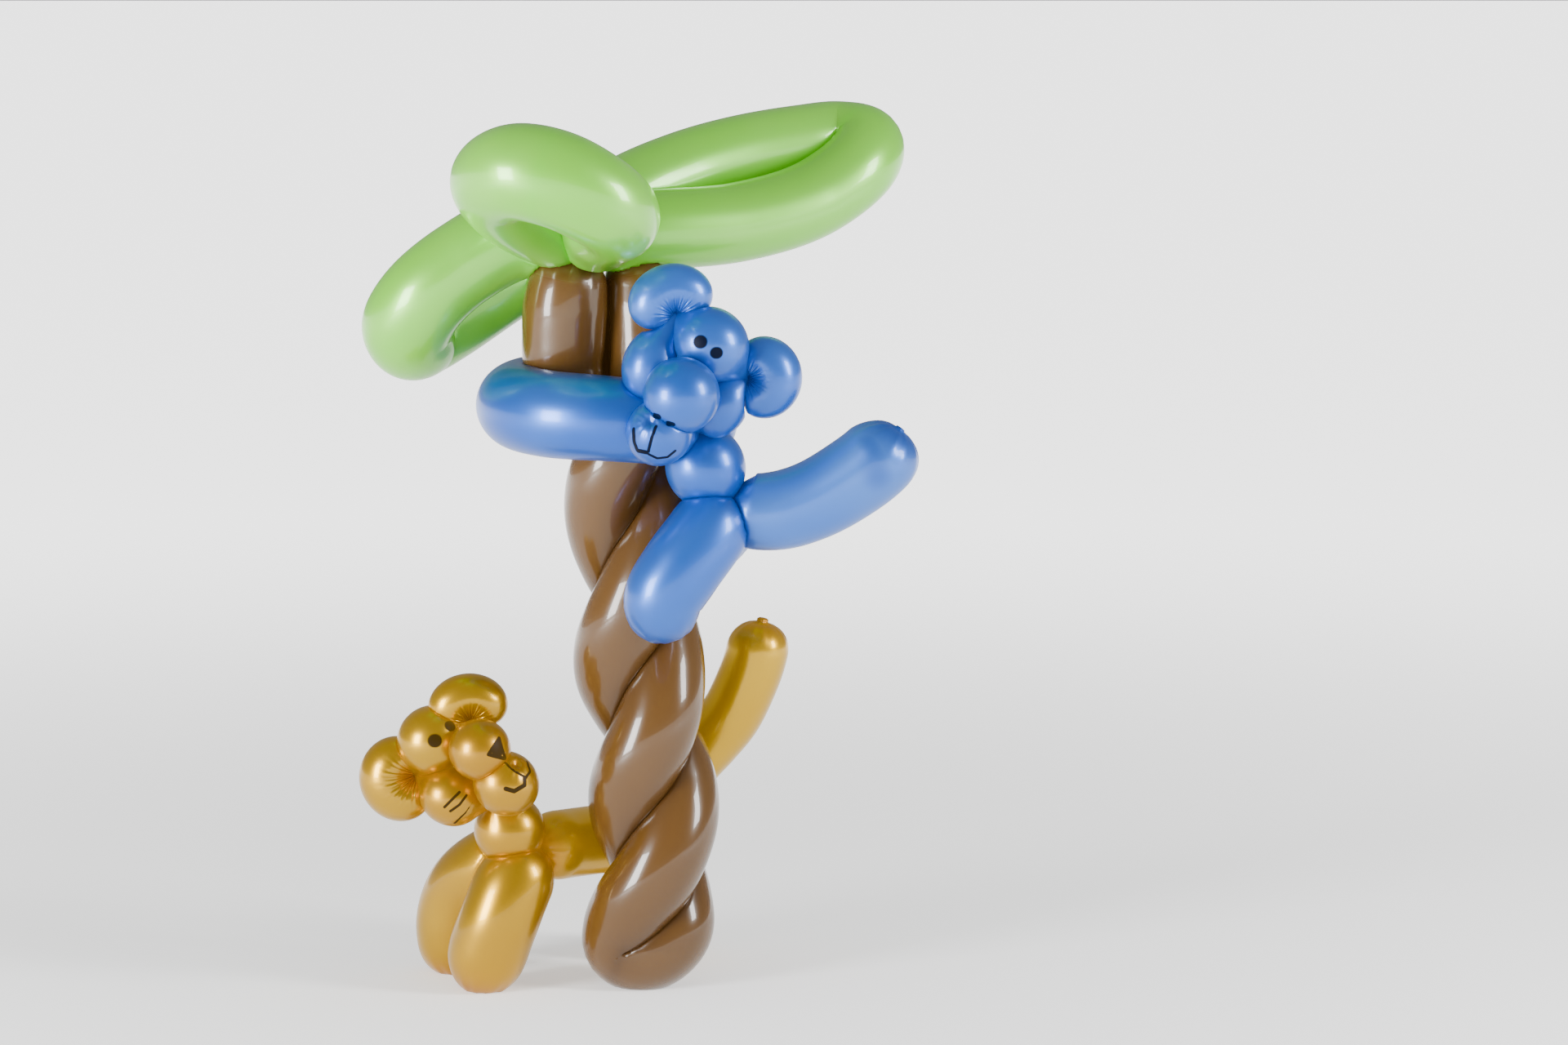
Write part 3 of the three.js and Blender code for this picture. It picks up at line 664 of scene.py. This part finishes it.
gold_ink = stroke(GOLD_FOREHEAD, 20.8, [(11.7, 9), (12.3, 9)], 3.4)
gold_ink += stroke(GOLD_FOREHEAD, 20.8, [(3.2, 0.5), (3.8, 0.5)], 4.1)
nose_corners = [(12.5, 7.5), (6.5, -2), (16, -5)]
gold_ink += stroke(GOLD_MUZZLE, 18.8, nose_corners + nose_corners[:1], 1.2)
gold_ink += stroke(GOLD_MUZZLE, 18.8, [(11.5, 4), (10, 0), (13, -1.5), (12.5, 2)], 2.2)
gold_ink += stroke(GOLD_MOUTH, 19.5, [(0, 13.5), (6, 8.5), (12.5, 4.5)], 0.8)
gold_ink += stroke(GOLD_MOUTH, 19.5, [(12.5, 4), (15, 8), (13, 13.5)], 0.9)
gold_ink += stroke(GOLD_MOUTH, 19.5, [(12, 4.5), (12, 0), (6, -3.5), (1, -2)], 1.4)
for places in ([(6, 3.5), (-3, -5.5)], [(10, 1.5), (6, -4), (0.5, -8)], [(13, -3), (9, -9), (2.5, -15.5)]):
    gold_ink += stroke(GOLD_CHEEK, 18.0, places, 0.85)

# The glow is painted light: an emission standing in for light through the gold latex, lifting its shaded
# body.
gold = latex("gold pearl latex", (0.39, 0.21, 0.0, 1), (0.3, 0.11, 0.0, 1), (0.43, 0.26, 0.004, 1),
             {"Roughness": 0.3, "Coat Weight": 0.35, "Coat Roughness": 0.07, "Metallic": 0.8,
              "Subsurface Weight": 0.2, "Subsurface Scale": 0.015, "Subsurface Radius": (1, 0.6, 0.2)},
             glow=(0.25, 0.135, 0.0, 1), ink=gold_ink)
gold_animal = skin_mesh("gold_animal_balloon", gold_bubbles)
gold_animal.data.materials.append(gold)
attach(gold_animal, "root")
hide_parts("gold_animal")

# A pale studio floor, so wide that its far edge stays out of the picture, two tall soft boxes low
# at the sides as the balloons' highlights show, and the camera a little above the middle with a
# long lens. Places and sizes here are in metres, powers in watts.

FLOOR_SIZE = 6000.0
GLOW_STARTS = 0.25
GLOW_FULL = 2.6
NEAR_GLOW = (0.6, 0.6, 0.6, 1)
FAR_GLOW = (2.6, 2.6, 2.6, 1)
LIT_PLACE = (-0.02, 0, 0.29)
LEFT_BOX = {"place": (-1.3, -1.15, 0.45), "width": 0.52, "height": 0.72, "power": 56}
RIGHT_BOX = {"place": (1.5, -0.64, 0.85), "width": 0.4, "height": 0.72, "power": 34}
TOP_BOX = {"place": (0.1, -0.3, 2.2), "width": 2.0, "height": 2.0, "power": 14}
WORLD_LIGHT = 0.36
AIM = (84 * MM, 0.0, 287.5 * MM)
CAMERA_DISTANCE = 2.7
CAMERA_ELEVATION = math.radians(VIEW_TILT_DEGREES)
FRAME_WIDTH = 955 * MM
SENSOR_WIDTH = 36.0

bpy.ops.object.select_all(action="DESELECT")
bpy.ops.mesh.primitive_plane_add(size=FLOOR_SIZE, location=(0, 0, 0))
floor = bpy.context.object
floor.name = "studio_floor"
paper = bpy.data.materials.new("white paper")
paper.use_nodes = True
white = paper.node_tree.nodes["Principled BSDF"]
white.inputs["Base Color"].default_value = (0.9, 0.9, 0.9, 1)
white.inputs["Roughness"].default_value = 0.9
white.inputs["Specular IOR Level"].default_value = 0.1
# Painted light: the floor glows, faintly near the balloons and brightly far off, standing in for a lit
# backdrop and its bounce.
spot = Wire(paper.node_tree, paper.node_tree.nodes.new("ShaderNodeTexCoord").outputs["Object"])
backlight = spot.vector("LENGTH", spot, output=1).ramp(GLOW_STARTS, GLOW_FULL).mix(NEAR_GLOW, FAR_GLOW)
paper.node_tree.links.new(backlight.socket, white.inputs["Emission Color"])
white.inputs["Emission Strength"].default_value = 1.0
floor.data.materials.append(paper)


def soft_box(name, place, width, height, power):
    light = bpy.data.lights.new(name, "AREA")
    light.shape = "RECTANGLE"
    light.size = width
    light.size_y = height
    light.energy = power
    lamp = bpy.data.objects.new(name, light)
    bpy.context.scene.collection.objects.link(lamp)
    lamp.location = place
    towards = np.array(LIT_PLACE) - np.array(place)
    lamp.rotation_euler = (math.atan2(math.hypot(towards[0], towards[1]), -towards[2]), 0,
                           math.atan2(-towards[0], towards[1]))
    return lamp


soft_box("left_box", **LEFT_BOX)
soft_box("right_box", **RIGHT_BOX)
over = soft_box("top_box", **TOP_BOX)
over.visible_glossy = False

world = bpy.data.worlds.new("studio")
bpy.context.scene.world = world
world.use_nodes = True
world.node_tree.nodes["Background"].inputs["Color"].default_value = (1, 1, 1, 1)
world.node_tree.nodes["Background"].inputs["Strength"].default_value = WORLD_LIGHT

camera_data = bpy.data.cameras.new("camera")
camera_data.sensor_width = SENSOR_WIDTH
camera_data.lens = SENSOR_WIDTH * CAMERA_DISTANCE / FRAME_WIDTH
camera = bpy.data.objects.new("camera", camera_data)
bpy.context.scene.collection.objects.link(camera)
camera.location = (AIM[0], -CAMERA_DISTANCE * math.cos(CAMERA_ELEVATION),
                   AIM[2] + CAMERA_DISTANCE * math.sin(CAMERA_ELEVATION))
camera.rotation_euler = (math.pi / 2 - CAMERA_ELEVATION, 0, 0)
bpy.context.scene.camera = camera
